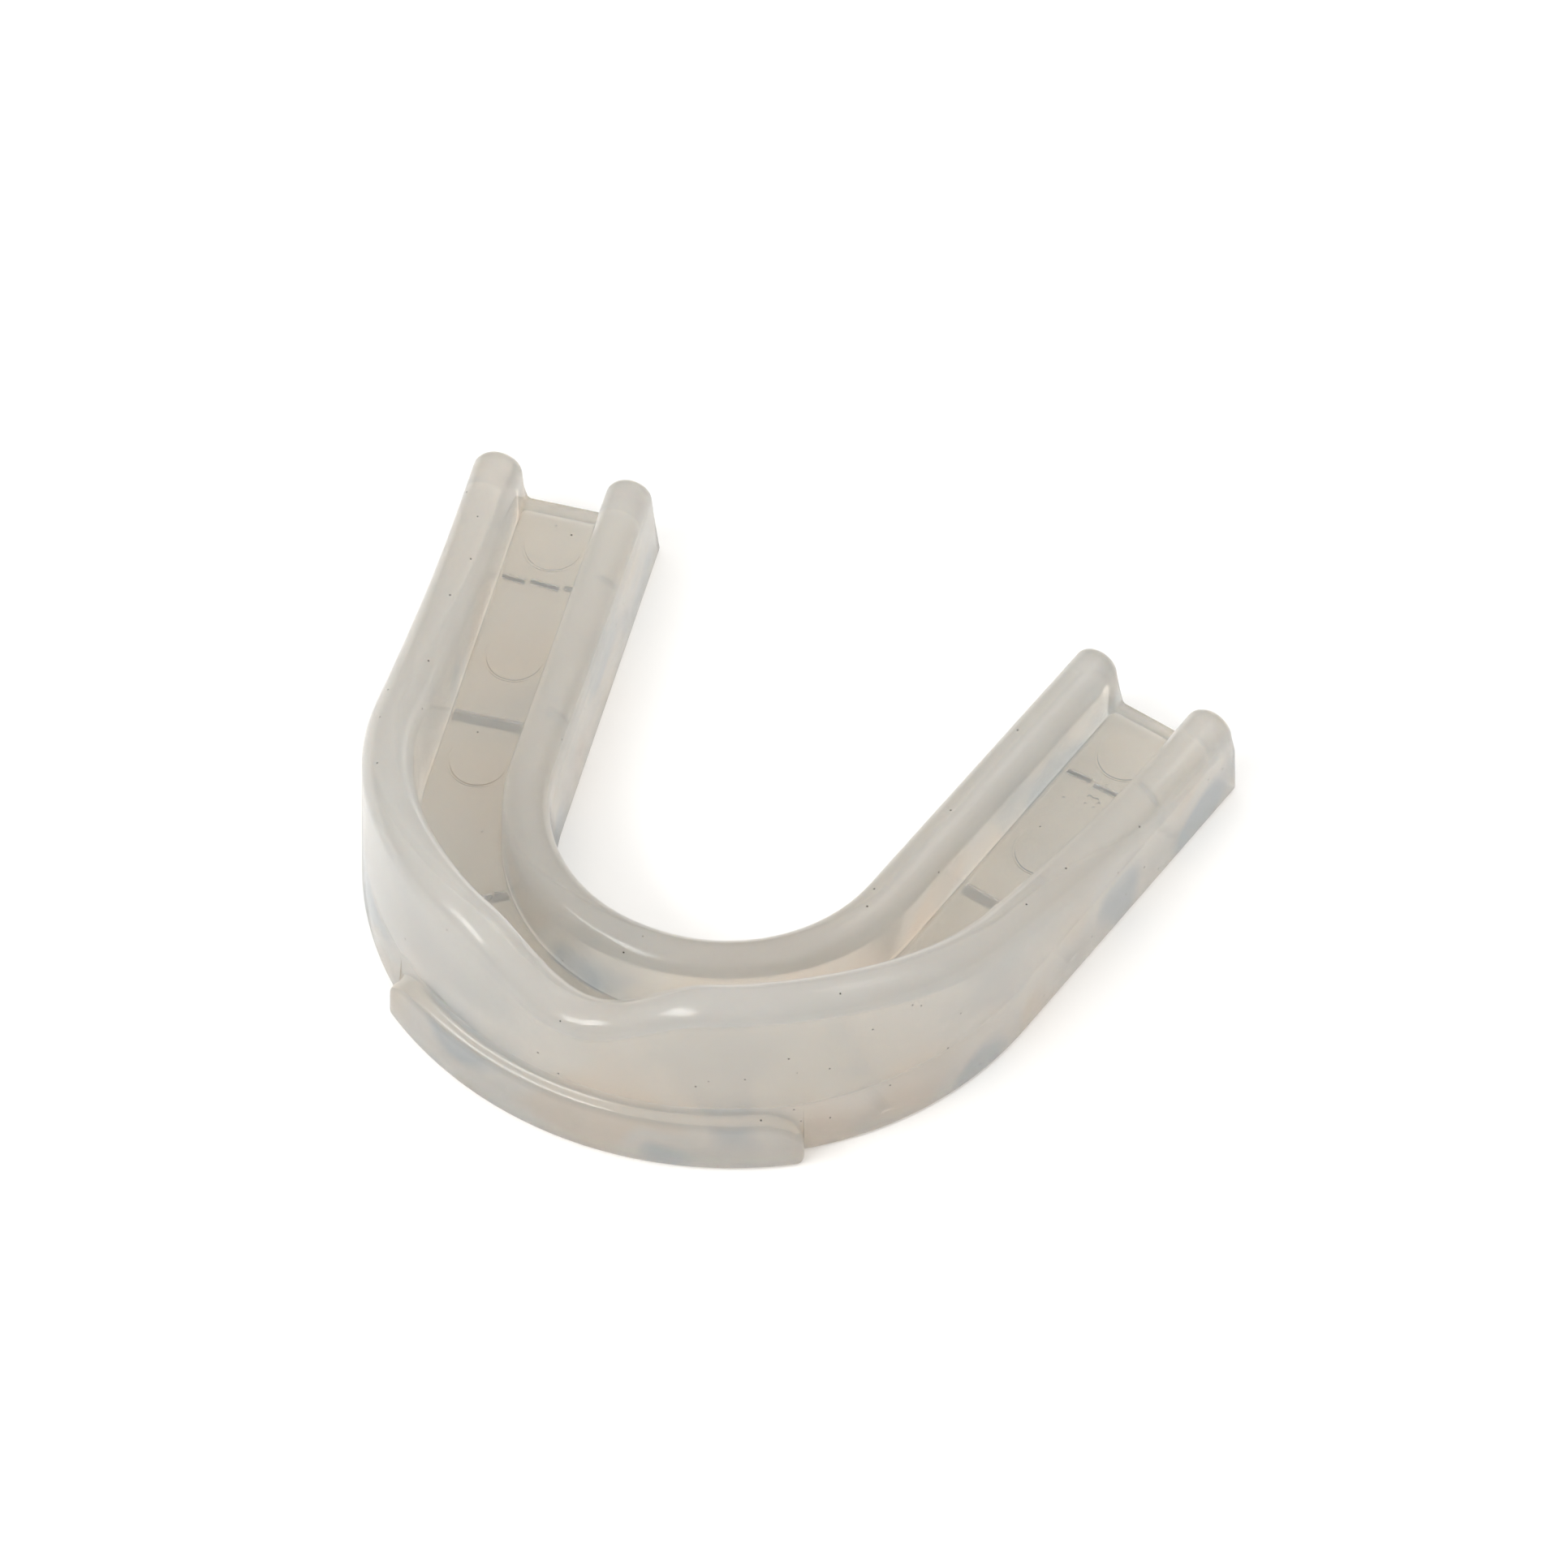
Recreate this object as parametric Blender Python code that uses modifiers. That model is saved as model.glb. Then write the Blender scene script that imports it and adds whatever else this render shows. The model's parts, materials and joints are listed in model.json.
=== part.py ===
"""A single-arch boil-and-bite mouthguard: one moulding of clear EVA, as a functional solid.

The arch lies flat on its underside. +X runs across the mouth, +Y towards the molars, +Z up.
The front teeth are at -Y. The origin is the middle of the bounding box, on the underside.

One U-shaped section (inner wall, bite floor, outer wall) follows the arch: a round front and two
straight arms. The wall heights and the lip ledge change along the way, so the solid is a loft
through unlike sections, built for x >= 0 and mirrored.
"""

import math

import bmesh
import bpy

MM = 0.001

# The arch, seen from above. Distances are from the tongue side of the inner wall, at the base.
INNER_RADIUS = 13.4 * MM
SECTION_WIDTH = 15.45 * MM
ARM_LENGTH = 30.0 * MM
ARM_SPREAD = math.radians(10.0)
ARC_END = math.pi / 2 - ARM_SPREAD

# Heights above the underside
FLOOR_HEIGHT = 3.0 * MM
INNER_FRONT_HEIGHT = 10.0 * MM
INNER_END_HEIGHT = 8.7 * MM
OUTER_FRONT_HEIGHT = 18.3 * MM
OUTER_END_HEIGHT = 8.8 * MM
OUTER_FALL_START = 16.0 * MM
OUTER_FALL_LENGTH = 48.0 * MM
NOTCH_DEPTH = 4.4 * MM
NOTCH_HALF_LENGTH = 11.5 * MM

# Walls
INNER_CREST_RADIUS = 1.9 * MM
OUTER_CREST_RADIUS = 2.05 * MM
INNER_DRAFT = 0.45 * MM
OUTER_DRAFT = 0.15 * MM
WALL_FOOT = 4.35 * MM
FILLET_RADIUS = 0.4 * MM
BASE_CHAMFER = 0.4 * MM

# The lip ledge along the foot of the front
LEDGE_HALF_ANGLE = math.radians(37.5)
LEDGE_MIDDLE_DEPTH = 1.1 * MM
LEDGE_END_DEPTH = 1.4 * MM
LEDGE_CORNER_RADIUS = 0.8 * MM
LEDGE_SHOULDER_RADIUS = 3.2 * MM
LEDGE_LEVELS = (6.9 * MM, 6.3 * MM, 5.8 * MM, 5.4 * MM, 4.8 * MM)
LEDGE_SHARES = (0.0, 0.12, 0.5, 0.88, 1.0)
LEDGE_CLEARANCE = 9.0 * MM

# Shallow cross grooves in the underside, between the bite pads
GROOVE_WIDTH = 1.2 * MM
GROOVE_DEPTH = 0.5 * MM
GROOVE_LENGTH = 8.6 * MM
GROOVES_BEFORE_END = (7.0 * MM, 21.5 * MM)
FRONT_GROOVE_ANGLE = math.radians(53.0)

# How finely the loft is divided
CREST_STEPS = 6
FILLET_STEPS = 2
FRONT_STEP = math.radians(4.0)
SHOULDER_STATIONS = (1.0, 0.65, 0.35, 0.15, 0.05, 0.0)
ARM_STEPS = 8

# The arch's centre is placed so that the bounding box is centred on the origin.
OUTER_RADIUS = INNER_RADIUS + SECTION_WIDTH
FRONT_REACH = OUTER_RADIUS + LEDGE_MIDDLE_DEPTH
BACK_REACH = ARM_LENGTH * math.cos(ARM_SPREAD) - INNER_RADIUS * math.sin(ARM_SPREAD)
CENTRE_Y = (FRONT_REACH - BACK_REACH) / 2


def clear_scene():
    for obj in list(bpy.data.objects):
        bpy.data.objects.remove(obj, do_unlink=True)


def smooth_step(value):
    value = min(max(value, 0.0), 1.0)
    return value * value * (3 - 2 * value)


def arch_frame(angle, along_arm):
    """The point of the inner base line, and the outward direction across the section there."""
    outward = (math.sin(angle), -math.cos(angle))
    forward = (math.cos(angle), math.sin(angle))
    x = INNER_RADIUS * outward[0] + along_arm * forward[0]
    y = CENTRE_Y + INNER_RADIUS * outward[1] + along_arm * forward[1]
    return (x, y), outward


def stations():
    """(angle, distance along the arm) of each section, from the midline to the arm's end."""
    ledge_end = LEDGE_HALF_ANGLE
    shoulder = LEDGE_SHOULDER_RADIUS / OUTER_RADIUS
    front_steps = math.ceil((ledge_end - shoulder) / FRONT_STEP)
    angles = [(ledge_end - shoulder) * step / front_steps for step in range(front_steps)]
    angles += [ledge_end - shoulder * share for share in SHOULDER_STATIONS]
    rest = math.ceil((ARC_END - ledge_end) / (1.5 * FRONT_STEP))
    angles += [ledge_end + (ARC_END - ledge_end) * step / rest for step in range(1, rest + 1)]
    arm = [(ARC_END, ARM_LENGTH * step / ARM_STEPS) for step in range(1, ARM_STEPS + 1)]
    return [(angle, 0.0) for angle in angles] + arm


def wall_heights(angle, along_arm):
    """Inner and outer wall height at a station."""
    whole = INNER_RADIUS * ARC_END + ARM_LENGTH
    share = (INNER_RADIUS * angle + along_arm) / whole
    inner = INNER_FRONT_HEIGHT + (INNER_END_HEIGHT - INNER_FRONT_HEIGHT) * share
    travel = OUTER_RADIUS * angle + along_arm
    fall = smooth_step((travel - OUTER_FALL_START) / OUTER_FALL_LENGTH)
    outer = OUTER_FRONT_HEIGHT + (OUTER_END_HEIGHT - OUTER_FRONT_HEIGHT) * fall
    if travel < NOTCH_HALF_LENGTH:
        outer -= NOTCH_DEPTH * math.cos(math.pi * travel / (2 * NOTCH_HALF_LENGTH)) ** 2
    return inner, outer


def rounded(distance, radius):
    """How far a quarter round of this radius has risen, this far in from its start."""
    share = min(max(distance / radius, 0.0), 1.0)
    return radius * math.sqrt(1 - (1 - share) ** 2)


def ledge_shape(angle, along_arm):
    """How far the lip ledge stands out, and how far its top has dropped in its round shoulder."""
    to_end = (LEDGE_HALF_ANGLE - angle) * OUTER_RADIUS
    if along_arm > 0 or to_end <= 0:
        return 0.0, 0.0
    share = angle / LEDGE_HALF_ANGLE
    full = LEDGE_MIDDLE_DEPTH + (LEDGE_END_DEPTH - LEDGE_MIDDLE_DEPTH) * share ** 2
    depth = full * rounded(to_end, LEDGE_CORNER_RADIUS) / LEDGE_CORNER_RADIUS
    return depth, LEDGE_SHOULDER_RADIUS - rounded(to_end, LEDGE_SHOULDER_RADIUS)


def arc(centre, radius, start, end, steps):
    """Points (across, up) along an arc, angles in degrees."""
    points = []
    for step in range(steps + 1):
        turn = math.radians(start + (end - start) * step / steps)
        points.append((centre[0] + radius * math.cos(turn), centre[1] + radius * math.sin(turn)))
    return points


def section(angle, along_arm):
    """The closed outline (across, up) from the tongue-side base edge over both walls."""
    inner, outer = wall_heights(angle, along_arm)
    ledge, drop = ledge_shape(angle, along_arm)
    inner_crest = (INNER_DRAFT + INNER_CREST_RADIUS, inner - INNER_CREST_RADIUS)
    outer_face = SECTION_WIDTH - OUTER_DRAFT
    outer_crest = (outer_face - OUTER_CREST_RADIUS, outer - OUTER_CREST_RADIUS)
    channel_start = WALL_FOOT + FILLET_RADIUS
    channel_end = SECTION_WIDTH - WALL_FOOT - FILLET_RADIUS
    fillet_height = FLOOR_HEIGHT + FILLET_RADIUS

    points = [(BASE_CHAMFER, 0.0), (0.0, BASE_CHAMFER)]
    points += arc(inner_crest, INNER_CREST_RADIUS, 180, 0, CREST_STEPS)
    points += arc((channel_start, fillet_height), FILLET_RADIUS, 180, 270, FILLET_STEPS)
    points += arc((channel_end, fillet_height), FILLET_RADIUS, 270, 360, FILLET_STEPS)
    points += arc(outer_crest, OUTER_CREST_RADIUS, 180, 0, CREST_STEPS)
    squeeze = min(1.0, outer_crest[1] / LEDGE_CLEARANCE)
    for level, share in zip(LEDGE_LEVELS, LEDGE_SHARES):
        height = (level - drop) * squeeze
        draft = OUTER_DRAFT * height / outer_crest[1]
        points.append((SECTION_WIDTH - draft + ledge * share, height))
    points.append((SECTION_WIDTH + ledge, BASE_CHAMFER))
    points.append((SECTION_WIDTH + ledge - BASE_CHAMFER, 0.0))
    return points


def loft_half():
    """The half arch at x >= 0, open at the midline and closed at the arm's end."""
    shape = bmesh.new()
    rings = []
    for angle, along_arm in stations():
        (x, y), outward = arch_frame(angle, along_arm)
        ring = []
        for across, up in section(angle, along_arm):
            ring.append(shape.verts.new((x + outward[0] * across, y + outward[1] * across, up)))
        rings.append(ring)
    for ring, following in zip(rings, rings[1:]):
        for index in range(len(ring)):
            after = (index + 1) % len(ring)
            shape.faces.new((ring[index], ring[after], following[after], following[index]))
    shape.faces.new(rings[-1])
    bmesh.ops.recalc_face_normals(shape, faces=shape.faces)
    mesh = bpy.data.meshes.new("mouthguard")
    shape.to_mesh(mesh)
    shape.free()
    mesh.shade_smooth()
    mesh.set_sharp_from_angle(angle=math.radians(40))
    return mesh


def add_groove(name, angle, along_arm, side, cutters):
    """A box cutter across the underside, square to the arch."""
    (x, y), outward = arch_frame(angle, along_arm)
    middle = SECTION_WIDTH / 2
    bpy.ops.mesh.primitive_cube_add(size=1.0)
    cutter = bpy.context.active_object
    cutter.name = name
    for vertex in cutter.data.vertices:
        vertex.co.x *= GROOVE_LENGTH
        vertex.co.y *= GROOVE_WIDTH
        vertex.co.z *= 2 * GROOVE_DEPTH
    cutter.location = (side * (x + outward[0] * middle), y + outward[1] * middle, 0.0)
    cutter.rotation_euler.z = side * math.atan2(outward[1], outward[0])
    cutter.hide_render = True
    cutter.display_type = "WIRE"
    for collection in list(cutter.users_collection):
        collection.objects.unlink(cutter)
    cutters.objects.link(cutter)


def eva_material():
    """Clear EVA with a slight milky warmth."""
    material = bpy.data.materials.new("clear_eva")
    material.use_nodes = True
    shader = material.node_tree.nodes["Principled BSDF"]
    shader.inputs["Base Color"].default_value = (0.55, 0.51, 0.46, 1.0)
    shader.inputs["Roughness"].default_value = 0.3
    shader.inputs["Metallic"].default_value = 0.0
    shader.inputs["IOR"].default_value = 1.48
    return material


def main():
    clear_scene()
    parts = bpy.data.collections.new("mouthguard")
    cutters = bpy.data.collections.new("cutters")
    bpy.context.scene.collection.children.link(parts)
    bpy.context.scene.collection.children.link(cutters)

    groove_places = [(ARC_END, ARM_LENGTH - back) for back in GROOVES_BEFORE_END]
    groove_places.append((FRONT_GROOVE_ANGLE, 0.0))
    for number, (angle, along_arm) in enumerate(groove_places, start=1):
        add_groove(f"groove_right_{number}", angle, along_arm, 1, cutters)
        add_groove(f"groove_left_{number}", angle, along_arm, -1, cutters)

    moulding = bpy.data.objects.new("mouthguard_moulding", loft_half())
    moulding.data.materials.append(eva_material())
    parts.objects.link(moulding)
    mirror = moulding.modifiers.new("other_half", "MIRROR")
    mirror.use_axis[0] = True
    mirror.use_clip = True
    mirror.merge_threshold = 0.0001
    cut = moulding.modifiers.new("underside_grooves", "BOOLEAN")
    cut.operation = "DIFFERENCE"
    cut.operand_type = "COLLECTION"
    cut.collection = cutters
    cut.solver = "EXACT"


main()
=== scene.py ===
"""A single-arch boil-and-bite mouthguard in clear EVA, on a plain pale stage.

The moulding is one closed loft: an inner wall, a bite floor and an outer wall follow the dental
arch, with a lip ledge at the front. Ejector-pin rings and a few air pits mark the bite floor, and
cross grooves the underside. The loft is drawn for one side and mirrored.
"""

import json
import math
import random

import bmesh
import bpy
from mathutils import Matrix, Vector

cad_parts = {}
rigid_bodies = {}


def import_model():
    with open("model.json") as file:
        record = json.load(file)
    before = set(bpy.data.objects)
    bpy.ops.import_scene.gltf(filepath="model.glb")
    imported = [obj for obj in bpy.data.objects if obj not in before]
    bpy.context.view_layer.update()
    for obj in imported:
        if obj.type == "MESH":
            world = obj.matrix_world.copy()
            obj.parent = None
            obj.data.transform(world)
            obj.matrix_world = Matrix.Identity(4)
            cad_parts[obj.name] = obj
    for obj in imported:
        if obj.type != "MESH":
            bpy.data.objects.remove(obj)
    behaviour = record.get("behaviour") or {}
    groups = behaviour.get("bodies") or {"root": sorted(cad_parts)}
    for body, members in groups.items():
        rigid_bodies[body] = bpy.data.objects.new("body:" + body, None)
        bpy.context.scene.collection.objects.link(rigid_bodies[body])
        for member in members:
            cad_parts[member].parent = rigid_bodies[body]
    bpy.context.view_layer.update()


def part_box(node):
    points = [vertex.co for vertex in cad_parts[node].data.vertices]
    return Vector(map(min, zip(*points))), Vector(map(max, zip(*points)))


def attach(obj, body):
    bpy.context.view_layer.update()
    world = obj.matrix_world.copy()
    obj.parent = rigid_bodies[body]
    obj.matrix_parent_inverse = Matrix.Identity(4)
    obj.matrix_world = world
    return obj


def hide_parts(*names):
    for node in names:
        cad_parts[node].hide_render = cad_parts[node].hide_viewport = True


bl_info = {
    "name": "Boil-and-bite mouthguard",
    "version": (1, 0, 0),
    "blender": (4, 5, 0),
    "location": "View3D > Sidebar > Mouthguard",
    "description": "Builds a clear EVA mouthguard and a plain studio stage",
    "category": "Object",
}

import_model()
CAD_NODE = "mouthguard_moulding"
NODE_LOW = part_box(CAD_NODE)[0]

MM = 0.001

# Cross grooves underneath, in order from the arm's end to the front. The last stands at the front
# mark. The first is three short strokes, each a little askew and shorter than its place.
GROOVES_BEFORE_END = (7.0 * MM, 21.5 * MM)
GROOVE_WIDTHS = (0.5 * MM, 1.2 * MM, 1.0 * MM)
GROOVE_DEPTHS = (0.3 * MM, 0.24 * MM, 0.24 * MM)
GROOVE_STROKES = (3, 1, 1)
STROKE_TURN = math.radians(6.0)
STROKE_SHARE = 0.85

# The ejector pins' rings sit slightly tilted, so that each fades out towards the molars
PINS_BEFORE_END = (4.4 * MM, 16.0 * MM, 27.0 * MM)
PIN_TILT = math.radians(2.5)
PIN_LIFT = 0.06 * MM

# Air pits in the bite floor of one arm
SCUFFS_BEFORE_END = (7.6 * MM, 11.5 * MM)
SCUFFS_ACROSS = (-2.2 * MM, 2.6 * MM)
SCUFF_RADII = (0.12 * MM, 0.28 * MM)
SCUFF_COUNT = 12
SCUFF_SEED = 11

# Below this crest height the ledge's levels close up, to stay under the crest
LEDGE_CLEARANCE = 9.0 * MM

# Share of the base rounding that the arms' end faces get at the bottom
BASE_END_SHARE = 0.8

# How finely the loft and its marks are divided
FRONT_STEP = math.radians(1.5)
ARM_STEP = 0.75 * MM
CREST_STEPS = 20
FILLET_STEPS = 6
BASE_STEPS = 5
LEDGE_STEPS = 8
SHOULDER_STEPS = 14
END_STEPS = 8
RING_STEPS = 72
RING_SIDES = 8
GROOVE_SIDES = 32
SHARP_ANGLE = math.radians(35)

# Patterns of the EVA and the paper, from real sizes. The soft cool and warm patches, painted light
# and painted shade at random places, are strongest low down on upright faces. A dust speck sits in
# each cell that the share picks; its reach is a part of the cell, and it is drawn about as fine as
# can still be seen.
PATCH_SIZE = 8 * MM
PATCHES_FULL_BELOW = 3 * MM
PATCHES_FAINT_ABOVE = 10 * MM
PATCHES_FAINT = 0.2
PATCHES_LEVEL = 0.15
SPECK_CELL = 1.8 * MM
SPECK_REACH = 0.048
SPECK_SHARE = 0.8
SKIN_GRAIN = 1.6 * MM
SKIN_RELIEF = 0.05 * MM
PAPER_FIBRE = 0.4 * MM
PAPER_RELIEF = 0.02 * MM

# Softboxes: name, azimuth and elevation in degrees, distance, width and height, watts
SOFTBOXES = (
    ("key_softbox", -34.0, 40.0, 0.65, (0.5, 0.2), 2.1),
    ("back_softbox", 146.0, 58.0, 0.65, (0.3, 0.24), 0.35),
)
FLOOR_RADIUS = 6.0
FLOOR_GAP = 0.05 * MM
SENSOR_WIDTH = 36.0
CLIP_END = 10.0

# A scattering body needs many bounces, or it renders far too dark
BOUNCES = 24
TRANSMISSION_BOUNCES = 16
VOLUME_BOUNCES = 12


def linear(hex_colour):
    """An sRGB hex colour as linear red, green and blue."""
    channels = [int(hex_colour[start:start + 2], 16) / 255 for start in (1, 3, 5)]
    return [c / 12.92 if c <= 0.04045 else ((c + 0.055) / 1.055) ** 2.4 for c in channels]


def length(name, default_mm, description):
    return bpy.props.FloatProperty(
        name=name, description=description, default=default_mm * MM, min=0.0,
        unit="LENGTH", subtype="DISTANCE", precision=5)


def degrees(name, default, description):
    return bpy.props.FloatProperty(
        name=name, description=description, default=math.radians(default), subtype="ANGLE")


def number(name, default, description):
    return bpy.props.FloatProperty(name=name, description=description, default=default, min=0.0)


def share(name, default, description):
    return bpy.props.FloatProperty(
        name=name, description=description, default=default, min=0.0, max=1.0, subtype="FACTOR")


def colour(name, hex_colour, description):
    return bpy.props.FloatVectorProperty(
        name=name, description=description, default=linear(hex_colour), size=3,
        min=0.0, max=1.0, subtype="COLOR")


class MouthguardSizes(bpy.types.PropertyGroup):
    """Sizes of the moulding."""

    inner_radius: length("Inner radius", 13.4, "Radius of the tongue side at the front")
    section_width: length("Section width", 15.45, "Width across both walls at the base")
    arm_length: length("Arm length", 30.0, "Straight length of each arm behind the round front")
    arm_spread: degrees("Arm spread", 10.0, "How far each arm turns out from straight back")
    floor_height: length("Floor height", 3.0, "Thickness of the bite floor")
    inner_front: length("Inner height, front", 10.0, "Inner wall height at the midline")
    inner_end: length("Inner height, end", 8.7, "Inner wall height at the arm's end")
    outer_front: length("Outer height, front", 18.3, "Outer wall height beside the lip notch")
    outer_end: length("Outer height, end", 8.8, "Outer wall height at the arm's end")
    fall_start: length("Fall start", 16.0, "Distance from the midline where the outer wall falls")
    fall_length: length("Fall length", 48.0, "Distance over which the outer wall falls")
    notch_depth: length("Notch depth", 4.4, "Depth of the lip notch at the midline")
    notch_half: length("Notch half length", 11.5, "Half the length of the lip notch")
    inner_crest: length("Inner crest radius", 1.9, "Rounding of the inner wall's top")
    outer_crest: length("Outer crest radius", 2.05, "Rounding of the outer wall's top")
    inner_draft: length("Inner draft", 0.45, "Lean of the inner wall's tongue side")
    outer_draft: length("Outer draft", 0.15, "Lean of the outer wall's lip side")
    wall_foot: length("Wall foot", 4.35, "Thickness of each wall at the bite floor")
    fillet: length("Channel fillet", 0.4, "Rounding between the bite floor and the walls")
    base_round: length("Base rounding", 0.45, "Rounding of the bottom edges")
    end_round: length("End rounding", 1.0, "Rounding of the walls' tops at the arms' ends")
    ledge_half: degrees("Ledge half angle", 37.5, "Half the angle that the lip ledge covers")
    ledge_middle: length("Ledge depth, middle", 1.1, "How far the lip ledge stands out in front")
    ledge_end: length("Ledge depth, ends", 1.4, "How far the lip ledge stands out at its ends")
    ledge_corner: length("Ledge corner radius", 0.8, "Rounding of the ledge's ends from above")
    ledge_shoulder: length("Ledge shoulder radius", 4.0, "Rounding of the ledge's ends in front")
    ledge_level: length("Ledge level", 5.55, "Height of the middle of the ledge's top")
    ledge_turn: degrees("Ledge turn", 75.0, "How far the ledge's top turns out from the wall")
    pin_diameter: length("Ejector pin diameter", 4.8, "Diameter of the ejector pins' rings")
    pin_ring: length("Ejector ring width", 0.26, "Width of the line round each ejector pin")
    groove_length: length("Groove length", 8.6, "Length of the grooves across the underside")
    front_mark: degrees("Front mark angle", 53.0, "Angle of the front groove and front pin")


class MouthguardFinish(bpy.types.PropertyGroup):
    """Colours and clarity of the EVA."""

    plain: colour("Plain skin", "#FBF7EF", "Skin colour over most of the EVA")
    # Painted light and painted shade: skin colours of the patches that stand in for light and shade
    # low on the walls
    painted_light_tone: colour("Painted light patches", "#FFEFDE", "Skin colour where light gathers, low on the walls")
    painted_shade_tone: colour("Painted shade patches", "#D1DBE1", "Skin colour of the shaded patches, low on the walls")
    tint: colour("Depth tint", "#E3D4C6", "Colour that deep stretches of the EVA take")
    haze: colour("Haze", "#EBF2F8", "Colour of the fine scatter in the body")
    # Painted shade: a dark grey skin for the fine strokes' faces underneath
    painted_stroke_shade: colour("Painted stroke shade", "#A4ACB4", "Skin colour inside the fine strokes underneath")
    # Painted shade: a pale grey skin for the wide grooves' faces underneath
    painted_groove_shade: colour("Painted groove shade", "#E4E8EB", "Skin colour inside the wide grooves underneath")
    speck: colour("Speck", "#3A3733", "Colour of the dust specks")
    depth: number("Depth", 8.5, "How fast the depth tint builds, per metre")
    milk: number("Milk", 150.0, "How often light scatters in the body, per metre")
    clarity: share("Clarity", 0.93, "Share of the light that enters the body")
    roughness: share("Roughness", 0.16, "Roughness of the moulded surface")


class MouthguardStage(bpy.types.PropertyGroup):
    """The camera, the light and the floor."""

    azimuth: degrees("Camera azimuth", 24.96, "How far the camera stands to the right of the front")
    elevation: degrees("Camera elevation", 52.17, "How high the camera looks down from")
    distance: length("Camera distance", 1841.0, "Distance from the camera to its target")
    view_width: length("View width", 124.65, "Width of the view at the target")
    target_x: bpy.props.FloatProperty(
        name="Target X", description="Camera target across the mouth", default=2.34 * MM,
        unit="LENGTH", subtype="DISTANCE", precision=5)
    target_y: length("Target Y", 7.51, "Camera target towards the molars")
    target_z: length("Target Z", 5.0, "Camera target above the floor")
    floor: colour("Floor", "#FAF9F7", "Colour of the paper floor")
    horizon: number("Horizon", 0.4, "Brightness of the studio walls at floor height")
    ceiling: number("Ceiling", 1.24, "Brightness of the studio ceiling")


def smooth_step(value):
    value = min(max(value, 0.0), 1.0)
    return value * value * (3 - 2 * value)


def quarter_round(distance, radius):
    """How far a quarter round of this radius has risen, this far in from its start."""
    part = min(max(distance / radius, 0.0), 1.0)
    return radius * math.sqrt(1 - (1 - part) ** 2)


def arc(centre, radius, start, end, steps):
    """Points (across, up) along an arc, angles in degrees."""
    points = []
    for step in range(steps + 1):
        turn = math.radians(start + (end - start) * step / steps)
        points.append((centre[0] + radius * math.cos(turn), centre[1] + radius * math.sin(turn)))
    return points


def spread(start, end, longest):
    """Even places from start to end, both included, no further apart than longest."""
    steps = max(1, math.ceil((end - start) / longest))
    return [start + (end - start) * step / steps for step in range(steps + 1)]


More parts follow.
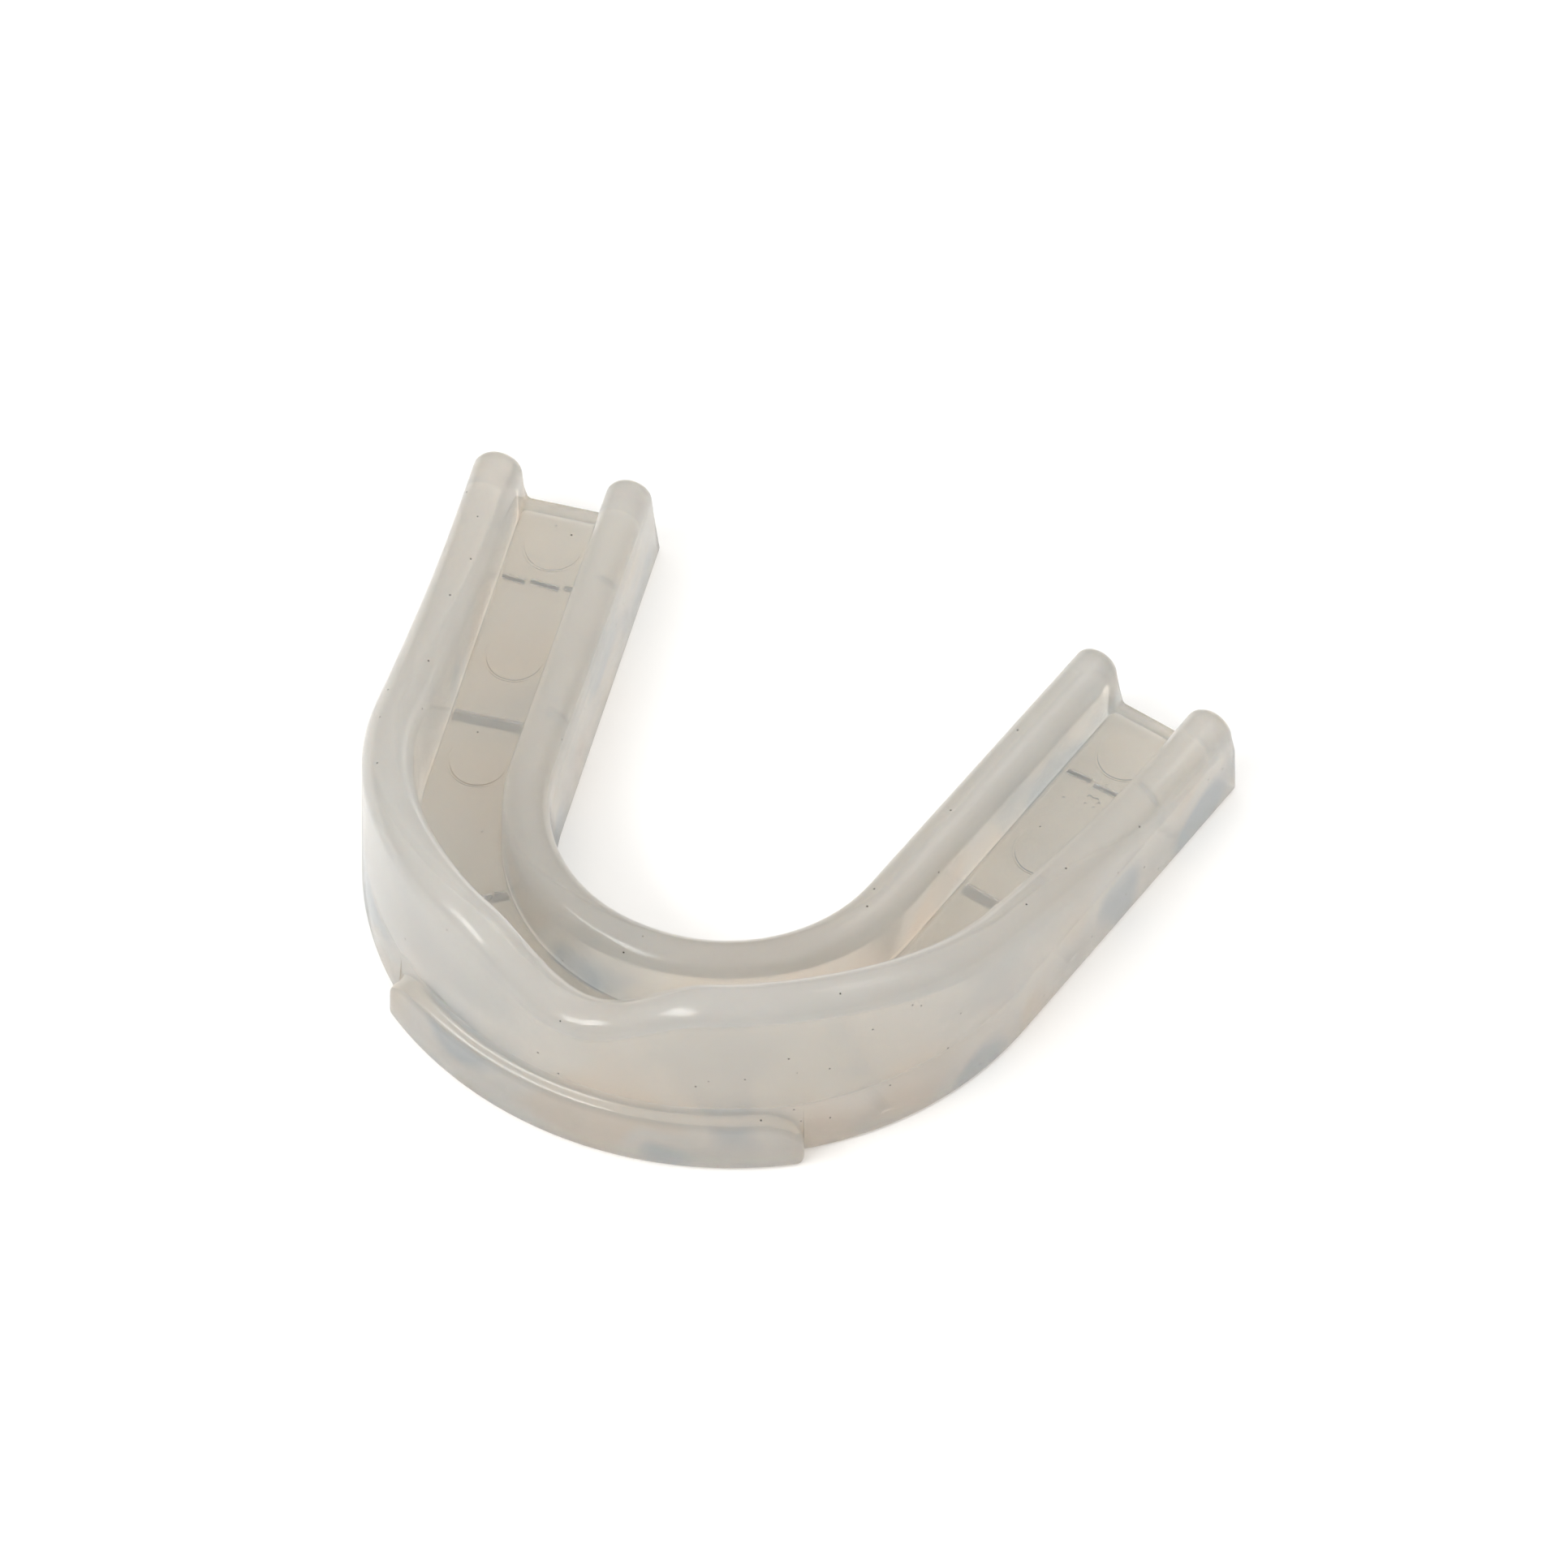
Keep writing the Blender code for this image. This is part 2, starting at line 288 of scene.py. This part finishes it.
class Moulding:
    """The mouthguard's geometry, worked out from its sizes."""

    def __init__(self, sizes):
        self.sizes = sizes
        self.outer_radius = sizes.inner_radius + sizes.section_width
        self.arc_end = math.pi / 2 - sizes.arm_spread
        self.centre_y = NODE_LOW[1] + self.outer_radius + sizes.ledge_middle

    def place(self, angle, along_arm, across):
        """The point (x, y) this far across the section at a station."""
        outward = (math.sin(angle), -math.cos(angle))
        forward = (math.cos(angle), math.sin(angle))
        reach = self.sizes.inner_radius + across
        x = reach * outward[0] + along_arm * forward[0]
        y = self.centre_y + reach * outward[1] + along_arm * forward[1]
        return x, y

    def stations(self):
        """(angle, distance along the arm) from the midline to the arm's end."""
        sizes = self.sizes
        shoulder = sizes.ledge_shoulder / self.outer_radius
        ledge_end = sizes.ledge_half
        angles = spread(0.0, ledge_end - shoulder, FRONT_STEP)
        for step in range(1, SHOULDER_STEPS + 1):
            left = (1 - step / SHOULDER_STEPS) ** 2
            angles.append(ledge_end - shoulder * left)
        angles += spread(ledge_end, self.arc_end, FRONT_STEP)[1:]
        round_start = sizes.arm_length - sizes.end_round
        alongs = spread(0.0, round_start, ARM_STEP)[1:]
        for step in range(1, END_STEPS + 1):
            turn = math.pi / 2 * step / END_STEPS
            alongs.append(round_start + sizes.end_round * math.sin(turn))
        return [(turn, 0.0) for turn in angles] + [(self.arc_end, along) for along in alongs]

    def wall_heights(self, angle, along_arm):
        """Inner and outer wall height at a station."""
        sizes = self.sizes
        whole = sizes.inner_radius * self.arc_end + sizes.arm_length
        done = (sizes.inner_radius * angle + along_arm) / whole
        inner = sizes.inner_front + (sizes.inner_end - sizes.inner_front) * done
        travel = self.outer_radius * angle + along_arm
        fall = smooth_step((travel - sizes.fall_start) / sizes.fall_length)
        outer = sizes.outer_front + (sizes.outer_end - sizes.outer_front) * fall
        if travel < sizes.notch_half:
            outer -= sizes.notch_depth * math.cos(math.pi * travel / (2 * sizes.notch_half)) ** 2
        return inner, outer

    def ledge_shape(self, angle, along_arm):
        """How far the lip ledge stands out, and how far its top drops in its round shoulder."""
        sizes = self.sizes
        to_end = (sizes.ledge_half - angle) * self.outer_radius
        if along_arm > 0 or to_end <= 0:
            return 0.0, 0.0
        done = angle / sizes.ledge_half
        full = sizes.ledge_middle + (sizes.ledge_end - sizes.ledge_middle) * done ** 2
        depth = full * quarter_round(to_end, sizes.ledge_corner) / sizes.ledge_corner
        return depth, sizes.ledge_shoulder - quarter_round(to_end, sizes.ledge_shoulder)

    def ledge_profile(self, drop, crest):
        """(share of the ledge's depth, height) down its top: a hollow round, then a full round."""
        sizes = self.sizes
        bulge = 2 * (1 - math.cos(sizes.ledge_turn))
        radius = sizes.ledge_end / bulge
        squeeze = min(1.0, crest / LEDGE_CLEARANCE)
        profile = []
        for step in range(-LEDGE_STEPS, LEDGE_STEPS + 1):
            turn = sizes.ledge_turn * (1 - abs(step) / LEDGE_STEPS)
            fall = math.sin(sizes.ledge_turn) - math.sin(turn)
            out = (1 - math.cos(turn)) / bulge
            height = sizes.ledge_level - math.copysign(radius * fall, step) - drop
            profile.append((out if step < 0 else 1 - out, height * squeeze))
        return profile

    def section(self, angle, along_arm):
        """The closed outline (across, up), from the tongue-side base edge over both walls.

        At the arm's end the walls' tops are rounded off, and the bite floor keeps a sharp edge.
        """
        sizes = self.sizes
        inner, outer = self.wall_heights(angle, along_arm)
        ledge, drop = self.ledge_shape(angle, along_arm)
        outer_face = sizes.section_width - sizes.outer_draft
        inner_crest = (sizes.inner_draft + sizes.inner_crest, inner - sizes.inner_crest)
        outer_crest = (outer_face - sizes.outer_crest, outer - sizes.outer_crest)
        channel_start = sizes.wall_foot + sizes.fillet
        channel_end = sizes.section_width - channel_start
        fillet_up = sizes.floor_height + sizes.fillet

        base = sizes.base_round
        lip_side = sizes.section_width + ledge
        lip_points = []
        for part, height in self.ledge_profile(drop, outer_crest[1]):
            draft = sizes.outer_draft * height / outer_crest[1]
            lip_points.append((sizes.section_width - draft + ledge * part, height))
        base_end = BASE_END_SHARE * base
        runs = (
            (base_end, arc((base, base), base, 270, 180, BASE_STEPS)),
            (sizes.end_round, arc(inner_crest, sizes.inner_crest, 180, 0, CREST_STEPS)),
            (0.0, arc((channel_start, fillet_up), sizes.fillet, 180, 270, FILLET_STEPS)),
            (0.0, arc((channel_end, fillet_up), sizes.fillet, 270, 360, FILLET_STEPS)),
            (sizes.end_round, arc(outer_crest, sizes.outer_crest, 180, 0, CREST_STEPS)),
            (base_end, lip_points),
            (base_end, arc((lip_side - base, base), base, 360, 270, BASE_STEPS)),
        )
        to_end = sizes.arm_length - along_arm
        points = []
        insets = []
        for radius, run in runs:
            points += run
            inset = radius - quarter_round(to_end, radius) if radius else 0.0
            insets += [inset] * len(run)
        return shrunk(points, insets)

    def half_loft(self):
        """The half moulding at x >= 0, open at the midline and closed at the arm's end."""
        shape = bmesh.new()
        rings = []
        for angle, along_arm in self.stations():
            ring = []
            for across, up in self.section(angle, along_arm):
                x, y = self.place(angle, along_arm, across)
                ring.append(shape.verts.new((x, y, up)))
            rings.append(ring)
        for ring, following in zip(rings, rings[1:]):
            for index in range(len(ring)):
                after = (index + 1) % len(ring)
                shape.faces.new((ring[index], ring[after], following[after], following[index]))
        shape.faces.new(rings[-1])
        bmesh.ops.recalc_face_normals(shape, faces=shape.faces)
        mesh = bpy.data.meshes.new("mouthguard_body")
        shape.to_mesh(mesh)
        shape.free()
        return mesh


def shrunk(points, insets):
    """A closed outline with each point moved in by its own inset, along the outline's normals."""
    if not any(insets):
        return points
    moved = []
    for index, (across, up) in enumerate(points):
        before = points[index - 1]
        after = points[(index + 1) % len(points)]
        run = (after[0] - before[0], after[1] - before[1])
        scale = insets[index] / (math.hypot(*run) or 1.0)
        moved.append((across + scale * run[1], up - scale * run[0]))
    return moved


def add_node(tree, kind, links=None, values=None, **settings):
    """A shader node with its settings, its sockets' values and the links into it."""
    node = tree.nodes.new(kind)
    for name, value in settings.items():
        setattr(node, name, value)
    for socket, value in (values or {}).items():
        node.inputs[socket].default_value = value
    for socket, source in (links or {}).items():
        tree.links.new(source, node.inputs[socket])
    return node


def new_material(name):
    material = bpy.data.materials.new(name)
    material.use_nodes = True
    material.node_tree.nodes.clear()
    return material, material.node_tree


def eva_material(name, finish, plain, painted_shade_tone, painted_light_tone):
    """Injection-moulded clear EVA: a glossy skin over a clear but faintly opalescent body.

    Fine scatter in the body gives a soft, milky glow: thick places stay about as light as thin
    ones, and marks underneath show through softly. Low on the walls, cool and warm patches of
    painted shade and painted light break the tone. The mould's polish shows as a slight unevenness
    in the gloss.
    """
    material, tree = new_material(name)
    place = add_node(tree, "ShaderNodeTexCoord").outputs["Object"]

    # Painted light and painted shade: cool and warm patches at random places, strongest low on
    # upright faces
    cloud = add_node(
        tree, "ShaderNodeTexNoise", {"Vector": place},
        {"Scale": 1 / PATCH_SIZE, "Detail": 0.6, "Roughness": 0.45})
    patches = add_node(tree, "ShaderNodeValToRGB", {"Fac": cloud.outputs["Fac"]})
    ramp = patches.color_ramp
    ramp.elements[0].position = 0.36
    ramp.elements[0].color = (*painted_shade_tone, 1.0)
    ramp.elements[1].position = 0.66
    ramp.elements[1].color = (*painted_light_tone, 1.0)
    for position in (0.46, 0.54):
        ramp.elements.new(position).color = (*plain, 1.0)
    height = add_node(tree, "ShaderNodeSeparateXYZ", {"Vector": place}).outputs["Z"]
    low = add_node(
        tree, "ShaderNodeMapRange", {"Value": height},
        {"From Min": PATCHES_FULL_BELOW, "From Max": PATCHES_FAINT_ABOVE,
         "To Min": 1.0, "To Max": PATCHES_FAINT},
        interpolation_type="SMOOTHSTEP")
    facing = add_node(
        tree, "ShaderNodeSeparateXYZ",
        {"Vector": add_node(tree, "ShaderNodeNewGeometry").outputs["Normal"]}).outputs["Z"]
    level = add_node(tree, "ShaderNodeMath", {0: facing}, operation="ABSOLUTE")
    upright = add_node(
        tree, "ShaderNodeMapRange", {"Value": level.outputs["Value"]},
        {"From Min": 0.3, "From Max": 0.9, "To Min": 1.0, "To Max": PATCHES_LEVEL})
    where = add_node(
        tree, "ShaderNodeMath", {0: low.outputs["Result"], 1: upright.outputs["Result"]},
        operation="MULTIPLY")
    tone = add_node(
        tree, "ShaderNodeMix",
        {"Factor": where.outputs["Value"], "B": patches.outputs["Color"]}, data_type="RGBA")
    tone.inputs["A"].default_value = (*plain, 1.0)
    specks = add_node(
        tree, "ShaderNodeTexVoronoi", {"Vector": place}, {"Scale": 1 / SPECK_CELL})
    near = add_node(
        tree, "ShaderNodeMath", {0: specks.outputs["Distance"]}, {1: SPECK_REACH},
        operation="LESS_THAN")
    chosen = add_node(
        tree, "ShaderNodeSeparateColor", {"Color": specks.outputs["Color"]})
    picked = add_node(
        tree, "ShaderNodeMath", {0: chosen.outputs["Red"]}, {1: SPECK_SHARE},
        operation="LESS_THAN")
    speck = add_node(
        tree, "ShaderNodeMath", {0: near.outputs["Value"], 1: picked.outputs["Value"]},
        operation="MULTIPLY")
    specked = add_node(
        tree, "ShaderNodeMix", {"Factor": speck.outputs["Value"], "A": tone.outputs["Result"]},
        data_type="RGBA")
    specked.inputs["B"].default_value = (*finish.speck, 1.0)

    skin = add_node(
        tree, "ShaderNodeTexNoise", {"Vector": place},
        {"Scale": 1 / SKIN_GRAIN, "Detail": 3.0, "Roughness": 0.55})
    gloss = add_node(
        tree, "ShaderNodeMapRange", {"Value": skin.outputs["Fac"]},
        {"From Min": 0.3, "From Max": 0.7,
         "To Min": finish.roughness - 0.03, "To Max": finish.roughness + 0.04})
    bump = add_node(
        tree, "ShaderNodeBump", {"Height": skin.outputs["Fac"]},
        {"Strength": 0.1, "Distance": SKIN_RELIEF})

    shader = add_node(
        tree, "ShaderNodeBsdfPrincipled",
        {"Base Color": specked.outputs["Result"], "Roughness": gloss.outputs["Result"],
         "Normal": bump.outputs["Normal"]},
        {"IOR": 1.48, "Transmission Weight": finish.clarity, "Subsurface Weight": 1.0,
         "Subsurface Scale": 3 * MM, "Subsurface Radius": (1.0, 0.85, 0.7)})
    depth = add_node(
        tree, "ShaderNodeVolumeAbsorption",
        values={"Color": (*finish.tint, 1.0), "Density": finish.depth})
    haze = add_node(
        tree, "ShaderNodeVolumeScatter",
        values={"Color": (*finish.haze, 1.0), "Density": finish.milk, "Anisotropy": 0.3})
    body = add_node(
        tree, "ShaderNodeAddShader", {0: depth.outputs["Volume"], 1: haze.outputs["Volume"]})
    add_node(
        tree, "ShaderNodeOutputMaterial",
        {"Surface": shader.outputs["BSDF"], "Volume": body.outputs["Shader"]})
    return material


def paper_material(stage):
    """Matt white background paper: even and without gloss."""
    material, tree = new_material("Matt white paper")
    place = add_node(tree, "ShaderNodeTexCoord").outputs["Object"]
    fibre = add_node(
        tree, "ShaderNodeTexNoise", {"Vector": place}, {"Scale": 1 / PAPER_FIBRE, "Detail": 2.0})
    bump = add_node(
        tree, "ShaderNodeBump", {"Height": fibre.outputs["Fac"]},
        {"Strength": 0.05, "Distance": PAPER_RELIEF})
    shader = add_node(
        tree, "ShaderNodeBsdfPrincipled", {"Normal": bump.outputs["Normal"]},
        {"Base Color": (*stage.floor, 1.0), "Roughness": 0.95, "Specular IOR Level": 0.1})
    add_node(tree, "ShaderNodeOutputMaterial", {"Surface": shader.outputs["BSDF"]})
    return material


def add_cutter(name, fill, collection):
    """A hidden cutter, its mesh filled by a function."""
    mesh = bpy.data.meshes.new(name)
    shape = bmesh.new()
    fill(shape)
    shape.to_mesh(mesh)
    shape.free()
    cutter = bpy.data.objects.new(name, mesh)
    collection.objects.link(cutter)
    return cutter


def fill_ring(shape, radius, thickness):
    """Fills a mesh with a flat-lying ring of this thickness."""
    rings = []
    for step in range(RING_STEPS):
        turn = 2 * math.pi * step / RING_STEPS
        ring = []
        for out, up in arc((radius, 0.0), thickness, 0, 360, RING_SIDES)[:-1]:
            ring.append(shape.verts.new((out * math.cos(turn), out * math.sin(turn), up)))
        rings.append(ring)
    for index, ring in enumerate(rings):
        following = rings[(index + 1) % RING_STEPS]
        for side in range(RING_SIDES):
            after = (side + 1) % RING_SIDES
            shape.faces.new((ring[side], following[side], following[after], ring[after]))
    bmesh.ops.recalc_face_normals(shape, faces=shape.faces)


class MOUTHGUARD_OT_moulding(bpy.types.Operator):
    """Build the EVA moulding over its CAD solid"""

    bl_idname = "mouthguard.moulding"
    bl_label = "Mouthguard moulding"

    def execute(self, context):
        sizes = context.scene.mouthguard_sizes
        moulding = Moulding(sizes)
        piece = bpy.data.objects.new("mouthguard_body", moulding.half_loft())
        context.scene.collection.objects.link(piece)
        finish = context.scene.mouthguard_finish
        piece.data.materials.append(
            eva_material("Injection-moulded clear EVA", finish,
                         finish.plain, finish.painted_shade_tone, finish.painted_light_tone))
        mirror = piece.modifiers.new("other_half", "MIRROR")
        mirror.use_clip = True
        mirror.merge_threshold = 0.01 * MM

        cutters = bpy.data.collections.new("mouthguard_cutters")
        context.scene.collection.children.link(cutters)
        self.add_pins(moulding, cutters)
        self.add_grooves(moulding, cutters)
        self.add_scuffs(moulding, cutters)
        cut = piece.modifiers.new("marks", "BOOLEAN")
        cut.operation = "DIFFERENCE"
        cut.operand_type = "COLLECTION"
        cut.collection = cutters
        cut.solver = "EXACT"
        cut.material_mode = "TRANSFER"
        self.apply_modifiers(context, piece)
        for cutter in list(cutters.objects):
            bpy.data.objects.remove(cutter, do_unlink=True)
        bpy.data.collections.remove(cutters)

        piece.data.shade_smooth()
        piece.data.set_sharp_from_angle(angle=SHARP_ANGLE)
        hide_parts(CAD_NODE)
        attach(piece, "root")
        return {"FINISHED"}

    def add_pins(self, moulding, cutters):
        """The fine sunken ring that each ejector pin leaves in the bite floor."""
        sizes = moulding.sizes
        places = [(moulding.arc_end, sizes.arm_length - back) for back in PINS_BEFORE_END]
        places.append((sizes.front_mark, 0.0))
        for angle, along_arm in places:
            x, y = moulding.place(angle, along_arm, sizes.section_width / 2)
            for side in (1, -1):
                ring = add_cutter("pin", lambda shape: fill_ring(
                    shape, sizes.pin_diameter / 2, sizes.pin_ring / 2), cutters)
                ring.location = (side * x, y, sizes.floor_height + PIN_LIFT)
                ring.rotation_euler.x = PIN_TILT

    def add_scuffs(self, moulding, cutters):
        """Tiny pits left by trapped air, in the bite floor of one arm."""
        sizes = moulding.sizes
        chance = random.Random(SCUFF_SEED)
        for _ in range(SCUFF_COUNT):
            back = chance.uniform(*SCUFFS_BEFORE_END)
            across = sizes.section_width / 2 + chance.uniform(*SCUFFS_ACROSS)
            x, y = moulding.place(moulding.arc_end, sizes.arm_length - back, across)
            radius = chance.uniform(*SCUFF_RADII)
            pit = add_cutter("pit", lambda shape: bmesh.ops.create_icosphere(
                shape, subdivisions=2, radius=radius), cutters)
            pit.location = (x, y, sizes.floor_height + 0.3 * radius)

    def add_grooves(self, moulding, cutters):
        """Round-bottomed cross grooves in the underside, their faces given a darker skin as painted
        shade.

        The groove nearest the arm's end is three short strokes that don't quite line up.
        """
        sizes = moulding.sizes
        finish = bpy.context.scene.mouthguard_finish
        # Painted shade: the strokes' faces get a dark grey skin
        painted_stroke_shade = eva_material("Clear EVA with painted shade in the strokes", finish,
                             finish.painted_stroke_shade, finish.painted_stroke_shade, finish.painted_stroke_shade)
        # Painted shade: the wide grooves' faces get a pale grey skin
        painted_groove_shade = eva_material("Clear EVA with painted shade in the wide grooves", finish,
                            finish.painted_groove_shade, finish.painted_groove_shade, finish.painted_groove_shade)
        places = [(moulding.arc_end, sizes.arm_length - back) for back in GROOVES_BEFORE_END]
        places.append((sizes.front_mark, 0.0))
        for place, width, depth, strokes in zip(
                places, GROOVE_WIDTHS, GROOVE_DEPTHS, GROOVE_STROKES):
            radius = (width ** 2 / 4 + depth ** 2) / (2 * depth)
            span = sizes.groove_length / strokes
            reach = span * STROKE_SHARE if strokes > 1 else span
            for stroke in range(strokes):
                offset = (stroke - (strokes - 1) / 2) * span
                x, y = moulding.place(*place, sizes.section_width / 2 + offset)
                turn = place[0] - math.pi / 2 + STROKE_TURN * (strokes > 1)
                for side in (1, -1):
                    groove = add_cutter("groove", lambda shape: bmesh.ops.create_cone(
                        shape, cap_ends=True, segments=GROOVE_SIDES, depth=reach,
                        radius1=radius, radius2=radius), cutters)
                    groove.location = (side * x, y, depth - radius)
                    groove.rotation_euler = (0.0, math.pi / 2, side * turn)
                    # Each cutter carries its painted shade onto the groove's faces: darker in the
                    # strokes, paler in the wide grooves
                    groove.data.materials.append(painted_stroke_shade if strokes > 1 else painted_groove_shade)

    def apply_modifiers(self, context, piece):
        """Puts the evaluated mesh in place of the piece's mesh and modifiers."""
        context.view_layer.update()
        evaluated = piece.evaluated_get(context.evaluated_depsgraph_get())
        mesh = bpy.data.meshes.new_from_object(evaluated)
        piece.modifiers.clear()
        piece.data = mesh
        mesh.name = "mouthguard_body"


class MOUTHGUARD_OT_stage(bpy.types.Operator):
    """Set up the pale floor, the soft lights and the camera"""

    bl_idname = "mouthguard.stage"
    bl_label = "Studio stage"

    def execute(self, context):
        stage = context.scene.mouthguard_stage
        self.add_floor(context, stage)
        self.add_surround(context, stage)
        for box in SOFTBOXES:
            self.add_softbox(context, *box)
        self.add_camera(context, stage)
        context.scene.view_settings.view_transform = "Standard"
        context.scene.cycles.max_bounces = BOUNCES
        context.scene.cycles.transmission_bounces = TRANSMISSION_BOUNCES
        context.scene.cycles.volume_bounces = VOLUME_BOUNCES
        return {"FINISHED"}

    def add_floor(self, context, stage):
        """A paper floor just under the moulding."""
        shape = bmesh.new()
        bmesh.ops.create_circle(shape, cap_ends=True, segments=96, radius=FLOOR_RADIUS)
        mesh = bpy.data.meshes.new("paper_floor")
        shape.to_mesh(mesh)
        shape.free()
        floor = bpy.data.objects.new("paper_floor", mesh)
        floor.location.z = NODE_LOW[2] - FLOOR_GAP
        context.scene.collection.objects.link(floor)
        mesh.materials.append(paper_material(stage))

    def add_surround(self, context, stage):
        """A white room, dimmer at floor height than overhead."""
        world = bpy.data.worlds.new("pale_studio")
        world.use_nodes = True
        tree = world.node_tree
        direction = add_node(tree, "ShaderNodeTexCoord").outputs["Generated"]
        height = add_node(tree, "ShaderNodeSeparateXYZ", {"Vector": direction}).outputs["Z"]
        glow = add_node(
            tree, "ShaderNodeMapRange", {"Value": height},
            {"From Min": 0.0, "From Max": 0.9, "To Min": stage.horizon, "To Max": stage.ceiling},
            interpolation_type="SMOOTHSTEP")
        background = tree.nodes["Background"]
        background.inputs["Color"].default_value = (1.0, 1.0, 1.0, 1.0)
        tree.links.new(glow.outputs["Result"], background.inputs["Strength"])
        context.scene.world = world

    def add_softbox(self, context, name, azimuth, elevation, distance, size, power):
        """A soft rectangular light, placed by its direction from the object."""
        direction = towards(math.radians(azimuth), math.radians(elevation))
        light = bpy.data.lights.new(name, "AREA")
        light.shape = "RECTANGLE"
        light.size, light.size_y = size
        light.energy = power
        lamp = bpy.data.objects.new(name, light)
        lamp.location = direction * distance
        lamp.rotation_euler = direction.to_track_quat("Z", "Y").to_euler()
        context.scene.collection.objects.link(lamp)

    def add_camera(self, context, stage):
        """A long-lens camera looking down at the target."""
        data = bpy.data.cameras.new("camera")
        data.sensor_width = SENSOR_WIDTH
        data.lens = SENSOR_WIDTH * stage.distance / stage.view_width
        data.clip_end = CLIP_END
        camera = bpy.data.objects.new("camera", data)
        direction = towards(stage.azimuth, stage.elevation)
        target = Vector((stage.target_x, stage.target_y, stage.target_z))
        camera.location = target + direction * stage.distance
        camera.rotation_euler = direction.to_track_quat("Z", "Y").to_euler()
        context.scene.collection.objects.link(camera)
        context.scene.camera = camera


def towards(azimuth, elevation):
    """The direction from the object; azimuth 0 is in front of it and turns to the right."""
    flat = math.cos(elevation)
    return Vector((math.sin(azimuth) * flat, -math.cos(azimuth) * flat, math.sin(elevation)))


class MOUTHGUARD_PT_panel(bpy.types.Panel):
    """Lists the mouthguard's settings, with the buttons that build the moulding and the stage"""

    bl_idname = "MOUTHGUARD_PT_panel"
    bl_label = "Mouthguard"
    bl_space_type = "VIEW_3D"
    bl_region_type = "UI"
    bl_category = "Mouthguard"

    def draw(self, context):
        for operator, group in (
            (MOUTHGUARD_OT_moulding, context.scene.mouthguard_sizes),
            (None, context.scene.mouthguard_finish),
            (MOUTHGUARD_OT_stage, context.scene.mouthguard_stage),
        ):
            box = self.layout.box()
            for name in group.__annotations__:
                box.prop(group, name)
            if operator:
                box.operator(operator.bl_idname)


CLASSES = (
    MouthguardSizes,
    MouthguardFinish,
    MouthguardStage,
    MOUTHGUARD_OT_moulding,
    MOUTHGUARD_OT_stage,
    MOUTHGUARD_PT_panel,
)


def register():
    for cls in CLASSES:
        bpy.utils.register_class(cls)
    scene = bpy.types.Scene
    scene.mouthguard_sizes = bpy.props.PointerProperty(type=MouthguardSizes)
    scene.mouthguard_finish = bpy.props.PointerProperty(type=MouthguardFinish)
    scene.mouthguard_stage = bpy.props.PointerProperty(type=MouthguardStage)


def unregister():
    scene = bpy.types.Scene
    del scene.mouthguard_sizes
    del scene.mouthguard_finish
    del scene.mouthguard_stage
    for cls in reversed(CLASSES):
        bpy.utils.unregister_class(cls)


def main():
    register()
    bpy.ops.mouthguard.moulding()
    bpy.ops.mouthguard.stage()


if __name__ == "__main__":
    main()
